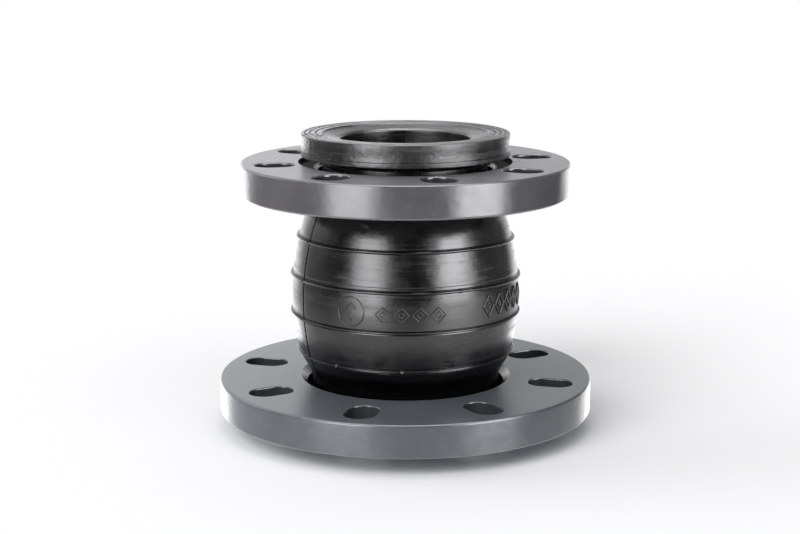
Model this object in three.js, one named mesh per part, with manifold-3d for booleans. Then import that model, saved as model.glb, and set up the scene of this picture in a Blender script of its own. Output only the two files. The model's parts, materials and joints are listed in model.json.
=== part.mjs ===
// Concentric reducing rubber expansion joint, DN100 x DN80, single sphere, with loose PVC-U flanges.
// Millimetres, +Z up. The origin is the centre of the DN100 sealing face, and Z is the pipe axis.
// The carcass is a moulded rubber bellows: liner, cord plies and cover between two beaded ends.
// Each end is a sealing collar over a wound wire bead, and a loose flange sits behind each collar.
import * as THREE from "three";
import { mergeVertices } from "three/addons/utils/BufferGeometryUtils.js";
import Module from "manifold-3d";

const wasm = await Module();
wasm.setup();

// ---------- driving dimensions ----------
const LENGTH = 180;            // sealing face to sealing face
const GAP = 0.35;              // radial gap between neighbouring layers
const SEGMENTS = 32;           // facets round the carcass
const FLANGE_SEGMENTS = 48;    // facets round each flange

// Carcass ends: bore, collar and where the collar back meets the wall layers.
const LOWER = { bore: 48.5, collar: 76.0, thick: 13.5, cover: 55.2, neck: 57.6, bead: 66.5 };
const UPPER = { bore: 39.2, collar: 63.5, thick: 13.8, cover: 46.9, neck: 49.6, bead: 55.0 };
const BACK_RIM = 3.3;          // rubber behind the bead, at the collar's rim
const NECK_ROOT = 17.0;        // the collar back's fillet ends this far from the sealing face
const FACE_RUBBER = 3.2;       // sealing rubber over the bead
const PLY = 0.85;              // one cord ply
const WIRE = 1.15;             // bead wire radius
const WIRE_PITCH = 2.6;        // bead wires stand in a two by two bundle

// Outer wall of the barrel, [height, radius], without the ribs.
const WALL = [
  [17.3, 57.6], [26.0, 57.4], [32.0, 57.8], [36.0, 59.6], [40.0, 62.1], [44.0, 64.3],
  [52.0, 66.4], [61.0, 67.9], [66.0, 68.9], [75.0, 69.3], [80.0, 69.45], [87.0, 69.35],
  [91.0, 69.15], [98.4, 68.4], [102.2, 67.9], [105.9, 67.3], [109.7, 66.6], [113.3, 65.8],
  [122.7, 63.5], [126.4, 62.4], [128.2, 61.7], [131.0, 60.4], [134.0, 58.5], [137.0, 56.3],
  [140.0, 54.4], [144.0, 52.5], [150.0, 50.9], [162.7, 49.6],
];
// Moulded ribs round the barrel, [height, outer radius, half width].
const RIBS = [[47.5, 66.3, 1.0], [71.2, 70.5, 1.0], [94.9, 70.5, 1.0], [118.0, 66.5, 1.0]];
// Heights at which the inner layers are set out, and the cover's thickness there.
const STATIONS = [17.3, 32.0, 44.0, 61.0, 89.0, 111.0, 126.7, 144.0, 162.7];
const COVER_THICK = [2.4, 2.4, 2.8, 3.0, 3.0, 3.0, 2.8, 2.7, 2.7];
const MIDDLE_THICK = 1.0;      // rubber between the two plies

// Loose flanges. Both have a round seat for the collar, and a rounded bore edge on the barrel side.
const UPPER_FLANGE = { bottom: 142.6, top: 162.5, r: 100.0, bore: 52.7, seat: 64.8, seatDepth: 3.5,
  edge: 56.6, pcd: 160.5, slotW: 19.4, slotL: 24.4, phase: 13.5 };
const LOWER_FLANGE = { bottom: 10.3, top: 30.0, r: 114.5, bore: 60.5, seat: 77.5, seatDepth: 3.6,
  edge: 64.7, pcd: 183.0, slotW: 18.2, slotL: 27.2, phase: -15.9 };
const BOLTS = 8;
const FLANGE_CHAMFER = 1.4;

// ---------- materials ----------
const rubber = () => new THREE.MeshStandardMaterial({ color: 0x1b1b1d, roughness: 0.42, metalness: 0.0 });
const linerRubber = () => new THREE.MeshStandardMaterial({ color: 0x232325, roughness: 0.5, metalness: 0.0 });
const cord = () => new THREE.MeshStandardMaterial({ color: 0xb9ad8f, roughness: 0.85, metalness: 0.0 });
const wire = () => new THREE.MeshStandardMaterial({ color: 0xa8895a, roughness: 0.35, metalness: 1.0 });
const pvc = () => new THREE.MeshStandardMaterial({ color: 0x62646b, roughness: 0.38, metalness: 0.0 });

// ---------- geometry helpers ----------
// A ring turned from a closed section of [radius, height] points, listed anticlockwise.
function ring(section, segments = SEGMENTS) {
  const area = section.reduce((a, [r, z], i) => {
    const [r2, z2] = section[(i + 1) % section.length];
    return a + r * z2 - r2 * z;
  }, 0);
  const pts = (area > 0 ? section : section.slice().reverse()).map(([r, z]) => new THREE.Vector2(r, z));
  pts.push(pts[0].clone());
  return new THREE.LatheGeometry(pts, segments).rotateX(Math.PI / 2);
}

// A closed geometry as a manifold-3d solid, and back.
function solidOf(geometry) {
  const g = geometry.clone();
  g.deleteAttribute("normal");
  g.deleteAttribute("uv");
  const merged = mergeVertices(g, 1e-4);
  return new wasm.Manifold(new wasm.Mesh({
    numProp: 3,
    vertProperties: new Float32Array(merged.attributes.position.array),
    triVerts: new Uint32Array(merged.index.array),
  }));
}
function geometryOf(solid) {
  const m = solid.getMesh();
  return new THREE.BufferGeometry()
    .setAttribute("position", new THREE.BufferAttribute(new Float32Array(m.vertProperties), 3))
    .setIndex(new THREE.BufferAttribute(new Uint32Array(m.triVerts), 1));
}

// Radius of the barrel's outer wall at a height.
function wallRadius(z) {
  for (let i = 1; i < WALL.length; i++)
    if (z <= WALL[i][0]) {
      const [z0, r0] = WALL[i - 1], [z1, r1] = WALL[i];
      return r0 + ((r1 - r0) * (z - z0)) / (z1 - z0);
    }
  return WALL[WALL.length - 1][1];
}

const group = new THREE.Group();
function add(name, geometry, material) {
  const mesh = new THREE.Mesh(geometry, material);
  mesh.name = name;
  group.add(mesh);
}

// ---------- wall of the barrel: cover, plies, middle rubber, liner ----------
// The cover's outside follows WALL and carries the ribs.
const outside = [];
for (const [z, r] of WALL) {
  const rib = RIBS.find(([h, , w]) => Math.abs(z - h) < w + 0.2);
  if (!rib) outside.push([r, z]);
}
for (const [h, r, w] of RIBS) {
  outside.push([wallRadius(h - w), h - w], [r, h - w * 0.55], [r, h + w * 0.55], [wallRadius(h + w), h + w]);
}
outside.sort((a, b) => a[1] - b[1]);

// Radii of each layer boundary at the stations, from the outside in.
const coverInner = STATIONS.map((z, i) => wallRadius(z) - COVER_THICK[i]);
const boundary = (from, amount) => from.map((r) => r - amount);
const outerPlyOut = boundary(coverInner, GAP), outerPlyIn = boundary(outerPlyOut, PLY);
const middleOut = boundary(outerPlyIn, GAP), middleIn = boundary(middleOut, MIDDLE_THICK);
const innerPlyOut = boundary(middleIn, GAP), innerPlyIn = boundary(innerPlyOut, PLY);
const linerOut = boundary(innerPlyIn, GAP);
const linerThick = [0, 2.6, 2.8, 3.0, 3.0, 3.0, 2.9, 2.9, 0];
const linerIn = linerOut.map((r, i) => r - linerThick[i]);
linerIn[0] = LOWER.bore;
linerIn[linerIn.length - 1] = UPPER.bore;

const layer = (out, inn) => ring([
  ...out.map((r, i) => [r, STATIONS[i]]),
  ...inn.map((r, i) => [r, STATIONS[i]]).reverse(),
]);
add("outer_cover", ring([...outside, ...coverInner.map((r, i) => [r, STATIONS[i]]).reverse()]), rubber());
add("outer_cord_ply", layer(outerPlyOut, outerPlyIn), cord());
add("middle_rubber", layer(middleOut, middleIn), linerRubber());
add("inner_cord_ply", layer(innerPlyOut, innerPlyIn), cord());
add("inner_liner", layer(linerOut, linerIn), linerRubber());

// ---------- beaded ends ----------
// Sections are drawn as [radius, distance from the sealing face], and place() puts them at their end.
function beadedEnd(name, e, atTop) {
  const place = (section) => section.map(([r, s]) => [r, atTop ? LENGTH - s : s]);
  const grooveIn = e.bead - 4.15, grooveOut = e.bead + 4.15;
  const backTop = e.thick - BACK_RIM, insideRim = backTop - GAP;
  const innerEdge = e.cover - GAP;
  add(name + "_sealing_collar", ring(place([
    [e.bore, NECK_ROOT - 0.05], [e.bore, 3.9], [e.bore + 1.6, 2.7],
    [e.collar - 11.0, 1.0], [e.collar - 10.6, 0], [e.collar - 8.6, 0], [e.collar - 8.2, 0.8],
    [e.collar - 7.0, 0.8], [e.collar - 6.6, 0], [e.collar - 1.1, 0], [e.collar, 1.1],
    [e.collar, insideRim], [grooveOut, insideRim], [grooveOut, FACE_RUBBER], [grooveIn, FACE_RUBBER],
    [grooveIn, insideRim], [innerEdge, insideRim], [innerEdge, NECK_ROOT - 0.05],
  ])), rubber());
  // The upper collar's underside is a shallow cone. The lower one is flat, and sits on its flange.
  const underside = atTop ? [[e.neck + 0.3, NECK_ROOT - 0.7]]
    : [[e.neck + 3.0, e.thick], [e.neck + 0.8, e.thick + 1.2]];
  add(name + "_collar_back", ring(place([
    [e.cover, backTop], [e.collar, backTop], [e.collar, e.thick - 0.7], [e.collar - 0.7, e.thick],
    ...underside, [e.neck, NECK_ROOT], [e.cover, NECK_ROOT],
  ])), rubber());
  // The plies' ends, turned up round the bead.
  const legBottom = insideRim - 0.1;
  add(name + "_bead_wrap", ring(place([
    [e.bead - 3.8, legBottom], [e.bead - 3.8, FACE_RUBBER + 0.3], [e.bead + 3.8, FACE_RUBBER + 0.3],
    [e.bead + 3.8, legBottom], [e.bead + 2.95, legBottom], [e.bead + 2.95, FACE_RUBBER + 1.15],
    [e.bead - 2.95, FACE_RUBBER + 1.15], [e.bead - 2.95, legBottom],
  ])), cord());
  // The bead: four hard wires in a two by two bundle.
  const middle = (FACE_RUBBER + 1.15 + insideRim) / 2;
  for (const [k, dr, ds] of [[1, -1, -1], [2, 1, -1], [3, -1, 1], [4, 1, 1]]) {
    const section = [];
    for (let i = 0; i < 6; i++) {
      const a = (i * Math.PI) / 3;
      section.push([
        e.bead + (dr * WIRE_PITCH) / 2 + WIRE * Math.cos(a),
        middle + (ds * WIRE_PITCH) / 2 + WIRE * Math.sin(a),
      ]);
    }
    add(name + "_bead_wire_" + k, ring(place(section)), wire());
  }
}
beadedEnd("lower", LOWER, false);
beadedEnd("upper", UPPER, true);

// ---------- loose flanges ----------
function flange(name, f, seatUp) {
  const h = f.top - f.bottom, c = FLANGE_CHAMFER;
  // Section as [radius, distance from the seat side], so both flanges share it.
  const section = [
    [f.bore, f.seatDepth + 1.6], [f.bore, h - 4.0], [f.bore + 1.3, h - 1.4], [f.edge, h],
    [f.r - c, h], [f.r, h - c], [f.r, c], [f.r - c, 0],
    [f.seat + 0.6, 0], [f.seat, 0.6], [f.seat, f.seatDepth], [f.bore + 2.2, f.seatDepth],
  ].map(([r, s]) => [r, seatUp ? f.top - s : f.bottom + s]);
  const body = solidOf(ring(section, FLANGE_SEGMENTS));
  // Bolt slots, long in the radial direction to suit several drillings.
  let cutters = null;
  for (let k = 0; k < BOLTS; k++) {
    const r = f.slotW / 2, s = f.slotL / 2 - r, n = 6, shape = new THREE.Shape();
    for (let i = 0; i <= n; i++) {
      const a = -Math.PI / 2 + (Math.PI * i) / n;
      const x = s + r * Math.cos(a), y = r * Math.sin(a);
      if (i === 0) shape.moveTo(x, y);
      else shape.lineTo(x, y);
    }
    for (let i = 0; i <= n; i++) {
      const a = Math.PI / 2 + (Math.PI * i) / n;
      shape.lineTo(-s + r * Math.cos(a), r * Math.sin(a));
    }
    shape.closePath();
    // Angle from the -Y side towards +X.
    const angle = ((f.phase + k * 45 - 90) * Math.PI) / 180;
    const g = new THREE.ExtrudeGeometry(shape, { depth: h + 10, bevelEnabled: false, steps: 1 })
      .translate(f.pcd / 2, 0, f.bottom - 5)
      .rotateZ(angle);
    const cut = solidOf(g);
    cutters = cutters ? cutters.add(cut) : cut;
  }
  add(name, geometryOf(body.subtract(cutters)), pvc());
}
flange("upper_flange", UPPER_FLANGE, true);
flange("lower_flange", LOWER_FLANGE, false);

export default group;
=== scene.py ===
import json
import math

import bpy
import numpy as np
from mathutils import Matrix, Vector

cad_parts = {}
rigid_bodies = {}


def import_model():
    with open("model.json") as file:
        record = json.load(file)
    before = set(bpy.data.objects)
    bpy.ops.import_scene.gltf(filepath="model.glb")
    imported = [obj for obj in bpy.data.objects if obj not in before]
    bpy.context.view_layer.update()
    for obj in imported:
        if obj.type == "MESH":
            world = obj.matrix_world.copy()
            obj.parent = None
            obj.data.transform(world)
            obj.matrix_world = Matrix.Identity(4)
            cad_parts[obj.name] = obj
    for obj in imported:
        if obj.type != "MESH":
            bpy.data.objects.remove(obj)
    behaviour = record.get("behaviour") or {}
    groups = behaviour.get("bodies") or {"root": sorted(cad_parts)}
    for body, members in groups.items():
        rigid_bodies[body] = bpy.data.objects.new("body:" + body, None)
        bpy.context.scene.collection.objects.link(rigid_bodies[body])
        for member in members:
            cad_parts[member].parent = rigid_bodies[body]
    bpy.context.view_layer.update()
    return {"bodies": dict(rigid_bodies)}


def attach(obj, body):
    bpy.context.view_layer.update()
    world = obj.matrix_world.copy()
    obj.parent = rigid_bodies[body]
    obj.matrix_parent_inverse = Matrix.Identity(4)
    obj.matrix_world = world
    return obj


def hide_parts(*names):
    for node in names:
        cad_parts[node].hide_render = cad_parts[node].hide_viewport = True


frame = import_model()
MM = 0.001
scene = bpy.context.scene
scene.view_settings.view_transform = "Standard"
scene.view_settings.look = "None"
scene.view_settings.exposure = 0.0
scene.view_settings.gamma = 1.0

# ------------------------------------------------------------------ camera
# Angle from the -Y side; the joint's axis stands a little right of the middle of the picture.
cam_data = bpy.data.cameras.new("camera")
cam = bpy.data.objects.new("camera", cam_data)
scene.collection.objects.link(cam)
cam_data.sensor_width = 36.0
cam_data.lens = 75.7
cam_data.dof.use_dof = False
cam.location = (-0.0033, -1.013, 0.3034)
cam.rotation_euler = (math.radians(90.0 - 11.54), 0.0, 0.0)
cam_data.clip_start, cam_data.clip_end = 0.01, 100.0
scene.camera = cam


# ------------------------------------------------------------------ geometry helpers
def pchip(x, y, xi):
    """Monotone cubic through the points."""
    x, y, xi = np.asarray(x, float), np.asarray(y, float), np.asarray(xi, float)
    h, d = np.diff(x), np.diff(y) / np.diff(x)
    m = np.zeros(len(x))
    for i in range(1, len(x) - 1):
        if d[i - 1] * d[i] > 0:
            w1, w2 = 2 * h[i] + h[i - 1], h[i] + 2 * h[i - 1]
            m[i] = (w1 + w2) / (w1 / d[i - 1] + w2 / d[i])
    m[0], m[-1] = d[0], d[-1]
    k = np.clip(np.searchsorted(x, xi) - 1, 0, len(x) - 2)
    t = (xi - x[k]) / h[k]
    return ((2 * t**3 - 3 * t**2 + 1) * y[k] + (t**3 - 2 * t**2 + t) * h[k] * m[k]
            + (-2 * t**3 + 3 * t**2) * y[k + 1] + (t**3 - t**2) * h[k] * m[k + 1])


def rounded(points, step=0.5):
    """A closed section from (r, z, fillet radius) corners, with arcs at the corners, in mm."""
    out = []
    n = len(points)
    for i in range(n):
        p = np.array(points[i][:2], float)
        rad = points[i][2] if len(points[i]) > 2 else 0.0
        a = np.array(points[i - 1][:2], float) - p
        b = np.array(points[(i + 1) % n][:2], float) - p
        la, lb = np.linalg.norm(a), np.linalg.norm(b)
        a, b = a / la, b / lb
        if rad <= 0:
            out.append(p)
            continue
        cosang = float(np.clip(a @ b, -1, 1))
        half = math.acos(cosang) / 2
        if half > math.radians(88):
            out.append(p)
            continue
        cut = min(rad / math.tan(half), 0.48 * la, 0.48 * lb)
        rad = cut * math.tan(half)
        p0, p1 = p + a * cut, p + b * cut
        c = p + (a + b) / np.linalg.norm(a + b) * (rad / math.sin(half))
        v0, v1 = p0 - c, p1 - c
        turn = math.acos(float(np.clip(v0 @ v1 / (np.linalg.norm(v0) * np.linalg.norm(v1)), -1, 1)))
        k = max(3, int(math.ceil(turn / math.radians(13))))
        for j in range(k + 1):
            t = j / k
            v = (math.sin((1 - t) * turn) * v0 + math.sin(t * turn) * v1) / math.sin(turn)
            out.append(c + v)
    return np.array(out)


def subdivided(section, longest):
    """Splits the section's long edges."""
    out = []
    n = len(section)
    for i in range(n):
        p, q = section[i], section[(i + 1) % n]
        k = max(1, int(math.ceil(np.linalg.norm(q - p) / longest)))
        for j in range(k):
            out.append(p + (q - p) * (j / k))
    return np.array(out)


def even_angles(n):
    return np.arange(n) * (2 * math.pi / n)


def make_object(name, verts_mm, faces, smooth=True):
    mesh = bpy.data.meshes.new(name)
    mesh.from_pydata((np.asarray(verts_mm, float) * MM).tolist(), [], faces)
    mesh.validate()
    mesh.update()
    obj = bpy.data.objects.new(name, mesh)
    scene.collection.objects.link(obj)
    if smooth:
        mesh.polygons.foreach_set("use_smooth", [True] * len(mesh.polygons))
    return obj


def turned(section, angles, shift=None):
    """Vertices and faces of a closed section turned about Z. Angles run from -Y towards +X.
    shift(r, z, theta) gives a change of radius in mm."""
    sec = np.asarray(section, float)
    area = np.sum(sec[:, 0] * np.roll(sec[:, 1], -1) - np.roll(sec[:, 0], -1) * sec[:, 1])
    if area < 0:
        sec = sec[::-1]
    n, m = len(sec), len(angles)
    r = np.repeat(sec[None, :, 0], m, 0)
    z = np.repeat(sec[None, :, 1], m, 0)
    th = np.repeat(np.asarray(angles)[:, None], n, 1)
    dz = 0.0
    if shift is not None:
        got = shift(r, z, th)
        if isinstance(got, tuple):
            dr, dz = got
        else:
            dr = got
        r = r + dr
        z = z + dz
    verts = np.stack([r * np.sin(th), -r * np.cos(th), z], -1).reshape(-1, 3)
    faces = []
    for i in range(m):
        i2 = (i + 1) % m
        for j in range(n):
            j2 = (j + 1) % n
            faces.append((i * n + j, i2 * n + j, i2 * n + j2, i * n + j2))
    return verts, faces


def turned_object(name, section, angles, shift=None):
    v, f = turned(section, angles, shift)
    return make_object(name, v, f)


def weigh_normals(obj):
    mod = obj.modifiers.new("weighted_normals", "WEIGHTED_NORMAL")
    mod.weight = 100
    mod.mode = "FACE_AREA"
    mod.keep_sharp = True


def waves(th, z, seed, amp, count=7, kmax=7, lmin=18.0, lmax=70.0):
    """A smooth uneven surface: a few seeded waves round and along the part, in mm."""
    rng = np.random.default_rng(seed)
    out = np.zeros_like(th)
    for _ in range(count):
        k = rng.integers(1, kmax + 1)
        l = rng.uniform(lmin, lmax)
        out += rng.uniform(0.4, 1.0) * np.sin(k * th + rng.uniform(0, 6.28) + 2 * math.pi * z / l * rng.choice([-1, 1]))
    return amp * out / math.sqrt(count)


SEAMS = (-61.3, 118.7)      # mould parting lines, degrees


# ------------------------------------------------------------------ materials
def new_material(name):
    mat = bpy.data.materials.new(name)
    mat.use_nodes = True
    nt = mat.node_tree
    nt.nodes.clear()
    out = nt.nodes.new("ShaderNodeOutputMaterial")
    bsdf = nt.nodes.new("ShaderNodeBsdfPrincipled")
    nt.links.new(bsdf.outputs["BSDF"], out.inputs["Surface"])
    return mat, nt, bsdf


class Nodes:
    """Short calls for building node trees."""

    def __init__(self, nt):
        self.nt = nt

    def put(self, socket, value):
        if hasattr(value, "is_output"):
            self.nt.links.new(value, socket)
        elif value is not None:
            socket.default_value = value

    def math(self, op, a, b=None, c=None, clamp=False):
        n = self.nt.nodes.new("ShaderNodeMath")
        n.operation = op
        n.use_clamp = clamp
        for i, v in enumerate((a, b, c)):
            if v is not None:
                self.put(n.inputs[i], v)
        return n.outputs[0]

    def vmath(self, op, a, b=None):
        n = self.nt.nodes.new("ShaderNodeVectorMath")
        n.operation = op
        self.put(n.inputs[0], a)
        if b is not None:
            self.put(n.inputs[1], b)
        return n.outputs["Value"] if op in ("LENGTH", "DOT_PRODUCT") else n.outputs[0]

    def step(self, v, a, b, lo=0.0, hi=1.0):
        n = self.nt.nodes.new("ShaderNodeMapRange")
        n.interpolation_type = "SMOOTHSTEP"
        self.put(n.inputs["Value"], v)
        n.inputs["From Min"].default_value = a
        n.inputs["From Max"].default_value = b
        n.inputs["To Min"].default_value = lo
        n.inputs["To Max"].default_value = hi
        return n.outputs["Result"]

    def linear(self, v, a, b, lo=0.0, hi=1.0):
        n = self.nt.nodes.new("ShaderNodeMapRange")
        self.put(n.inputs["Value"], v)
        n.inputs["From Min"].default_value = a
        n.inputs["From Max"].default_value = b
        n.inputs["To Min"].default_value = lo
        n.inputs["To Max"].default_value = hi
        return n.outputs["Result"]

    def noise(self, vector, scale, detail=4.0, rough=0.5, distortion=0.0, dims="3D", w=None):
        n = self.nt.nodes.new("ShaderNodeTexNoise")
        n.noise_dimensions = dims
        if dims != "1D" and vector is not None:
            self.put(n.inputs["Vector"], vector)
        if w is not None:
            self.put(n.inputs["W"], w)
        n.inputs["Scale"].default_value = scale
        n.inputs["Detail"].default_value = detail
        n.inputs["Roughness"].default_value = rough
        n.inputs["Distortion"].default_value = distortion
        return n.outputs["Fac"]

    def voronoi(self, vector, scale, feature="F1"):
        n = self.nt.nodes.new("ShaderNodeTexVoronoi")
        n.feature = feature
        self.put(n.inputs["Vector"], vector)
        n.inputs["Scale"].default_value = scale
        return n.outputs["Distance"]

    def mix(self, fac, a, b):
        n = self.nt.nodes.new("ShaderNodeMix")
        n.data_type = "RGBA"
        self.put(n.inputs["Factor"], fac)
        self.put(n.inputs[6], a)
        self.put(n.inputs[7], b)
        return n.outputs[2]

    def scale(self, vector, xyz):
        n = self.nt.nodes.new("ShaderNodeMapping")
        self.put(n.inputs["Vector"], vector)
        n.inputs["Scale"].default_value = xyz
        return n.outputs["Vector"]

    def bump(self, height, strength, distance, normal=None):
        n = self.nt.nodes.new("ShaderNodeBump")
        self.put(n.inputs["Height"], height)
        n.inputs["Strength"].default_value = strength
        n.inputs["Distance"].default_value = distance
        if normal is not None:
            self.put(n.inputs["Normal"], normal)
        return n.outputs["Normal"]

    def coords(self):
        n = self.nt.nodes.new("ShaderNodeTexCoord")
        return n.outputs["Object"], n.outputs["Normal"]

    def split(self, vector):
        n = self.nt.nodes.new("ShaderNodeSeparateXYZ")
        self.put(n.inputs[0], vector)
        return n.outputs[0], n.outputs[1], n.outputs[2]

    def join(self, x, y, z):
        n = self.nt.nodes.new("ShaderNodeCombineXYZ")
        for i, v in enumerate((x, y, z)):
            self.put(n.inputs[i], v)
        return n.outputs[0]

    def polar(self, pos):
        """(angle in radians, radius, height) about Z."""
        x, y, z = self.split(pos)
        ang = self.math("ARCTAN2", x, self.math("MULTIPLY", y, -1.0))
        rad = self.math("SQRT", self.math("ADD", self.math("MULTIPLY", x, x), self.math("MULTIPLY", y, y)))
        return ang, rad, z


def rubber_material(name, tone=(0.0095, 0.0095, 0.0102), rough=0.33, scuff=0.5, bloom=0.25, grain=1.0, spec=0.5,
                    dust=(0.016, 0.0158, 0.0165), cover=False, lumpy=0.5, shade=None):
    """Moulded black rubber: semi-gloss skin, fine grain, wiping marks, and a thin grey bloom in places."""
    mat, nt, bsdf = new_material(name)
    n = Nodes(nt)
    pos, _ = n.coords()
    ang, rad, z = n.polar(pos)
    around = n.join(n.math("MULTIPLY", ang, 0.065), rad, z)
    cloud = n.noise(pos, 28.0, 5.0, 0.55, 0.4)
    cloud2 = n.noise(pos, 95.0, 6.0, 0.6, 0.6)
    # wiping marks run round the part
    wipe = n.noise(n.scale(around, (17.0, 90.0, 460.0)), 1.0, 6.0, 0.62, 0.7)
    specks = n.voronoi(pos, 900.0)
    speck = n.math("MULTIPLY", n.step(specks, 0.10, 0.02), n.step(cloud2, 0.52, 0.66))
    bloom_f = n.math("MULTIPLY", n.step(cloud, 0.45, 0.72), bloom)
    wipe_f = n.math("MULTIPLY", n.step(wipe, 0.52, 0.78), scuff)
    grey = n.math("ADD", bloom_f, n.math("MULTIPLY", wipe_f, 0.12), clamp=True)
    c1 = n.mix(grey, (*tone, 1.0), (*dust, 1.0))
    c2 = n.mix(n.math("MULTIPLY", speck, 0.5), c1, (0.06, 0.06, 0.06, 1.0))
    if shade is not None:
        # painted shade: the collar's underside below the joint line and the lower collar near the floor are darkened to
        # near black, standing in for the shade there
        under = n.math("MULTIPLY", n.step(z, shade[1], shade[1] - 0.0005), n.step(z, shade[0], shade[0] + 0.01))
        under = n.math("MAXIMUM", under, n.step(z, 0.0145, 0.0135))
        c2 = n.mix(n.math("MULTIPLY", under, 0.93), c2, (0.0008, 0.0008, 0.0009, 1.0))
        # painted shade: the collar's bore is darkened to near black
        bore = n.step(rad, shade[2] + 0.001, shade[2])
        c2 = n.mix(n.math("MULTIPLY", bore, 0.72), c2, (0.0010, 0.0010, 0.0011, 1.0))
    n.put(bsdf.inputs["Base Color"], c2)
    r1 = n.math("ADD", rough, n.linear(cloud2, 0.3, 0.7, -0.035, 0.05))
    r2 = n.math("ADD", r1, n.math("MULTIPLY", wipe_f, 0.15))
    r2 = n.math("ADD", r2, n.linear(wipe, 0.35, 0.65, -0.03 * scuff, 0.03 * scuff))
    r3 = n.math("ADD", r2, n.math("MULTIPLY", bloom_f, 0.16))
    # uneven scratches round the part, in broken lengths
    fine_lines = n.noise(n.scale(around, (16.0, 260.0, 1400.0)), 1.0, 4.0, 0.7, 0.8)
    scratch = n.math("MULTIPLY", n.step(fine_lines, 0.56, 0.70), n.step(cloud2, 0.42, 0.60))
    r4 = n.math("ADD", r3, n.math("MULTIPLY", scratch, 0.12 * scuff), clamp=True)
    if shade is not None:
        r4 = n.math("ADD", r4, n.step(ang, -0.6, 0.2, -0.035, 0.025), clamp=True)
    n.put(bsdf.inputs["Roughness"], r4)
    lumps = n.noise(pos, 420.0, 4.0, 0.65, 0.3)
    bsdf.inputs["Specular IOR Level"].default_value = spec
    bsdf.inputs["IOR"].default_value = 1.52
    # the painted shade zones also reflect less
    if shade is not None:
        n.put(bsdf.inputs["Specular IOR Level"], n.math("SUBTRACT", spec, n.math("MULTIPLY", under, 0.8 * spec)))
    if cover:
        # dull in the parting line's groove and on the neck, and worn across the marked band
        seam = None
        for deg in SEAMS:
            away = n.math("ABSOLUTE", n.math("SUBTRACT", ang, math.radians(deg)))
            one = n.step(away, 0.015, 0.009)
            seam = one if seam is None else n.math("ADD", seam, one)
        neck = n.step(z, 0.0475, 0.0435)
        dull = n.math("MAXIMUM", seam, n.math("MULTIPLY", neck, 0.72))
        n.put(bsdf.inputs["Specular IOR Level"], n.math("MULTIPLY", n.math("SUBTRACT", 1.0, dull, clamp=True), spec))
        band = n.math("MULTIPLY", n.step(z, 0.070, 0.074), n.step(z, 0.094, 0.086))
        side = n.step(ang, -0.1, 0.5, 0.045, 0.17)
        patchy = n.linear(n.noise(pos, 30.0, 3.0, 0.5), 0.35, 0.65, -0.03, 0.05)
        worn = n.math("ADD", n.math("MULTIPLY", band, side), patchy)
        n.put(bsdf.inputs["Roughness"], n.math("ADD", r4, worn, clamp=True))
    fine = n.noise(pos, 1500.0, 3.0, 0.6)
    peel = n.noise(pos, 190.0, 3.0, 0.5)
    b1 = n.bump(fine, 0.35 * grain, 0.00006)
    b2 = n.bump(peel, 0.5 * grain, 0.00012, b1)
    b3 = n.bump(wipe, 0.28 * scuff, 0.00010, b2)
    b4 = n.bump(speck, 0.5, 0.00012, b3)
    b5 = n.bump(scratch, 0.20 * scuff, 0.00006, b4)
    b6 = n.bump(lumps, lumpy, 0.00010, b5)
    n.put(bsdf.inputs["Normal"], b6)
    return mat


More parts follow.
